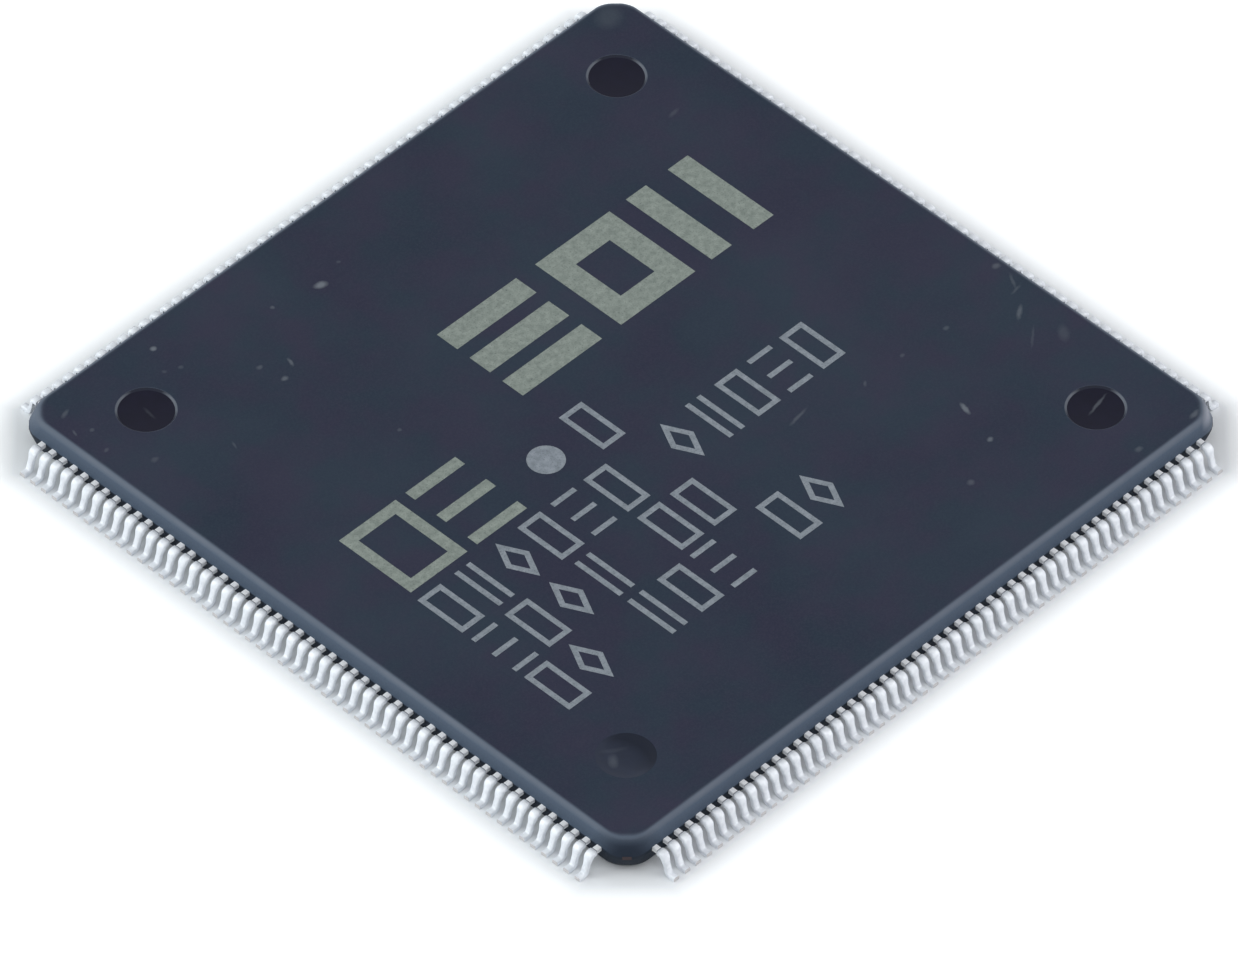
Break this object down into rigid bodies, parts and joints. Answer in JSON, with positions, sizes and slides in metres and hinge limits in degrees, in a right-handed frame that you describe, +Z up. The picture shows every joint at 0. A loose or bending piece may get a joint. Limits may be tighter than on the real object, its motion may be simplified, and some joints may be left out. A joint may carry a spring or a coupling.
{
  "type": "quad flat pack chip",
  "caption": "Thin square chip in a black moulded block, with a row of gull-wing leads along each side that solder flat onto a circuit board.",
  "frame": {"origin": "under the middle of the block, on the plane that the lead feet stand on", "axes": "+Z up out of the board; +X along the row of leads that starts beside the pin 1 dimple, which lies in the -X -Y corner; +Y along the next row"},
  "size_m": [0.03, 0.03, 0.0015],
  "materials": {
    "mould_compound": "matt black epoxy moulding compound, fine grain",
    "plated_leads": "matt tin plate on copper alloy",
    "bare_copper": "dull stamped copper alloy",
    "die_glue": "silver-filled epoxy glue",
    "silicon": "polished silicon"
  },
  "bodies": {
    "root": {"mould_body": "mould_compound", "leads_1_to_52": "plated_leads", "leads_53_to_104": "plated_leads", "leads_105_to_156": "plated_leads", "leads_157_to_208": "plated_leads", "die_pad_with_tie_bars": "bare_copper", "die_attach_glue": "die_glue", "silicon_die": "silicon"}
  },
  "joints": []
}
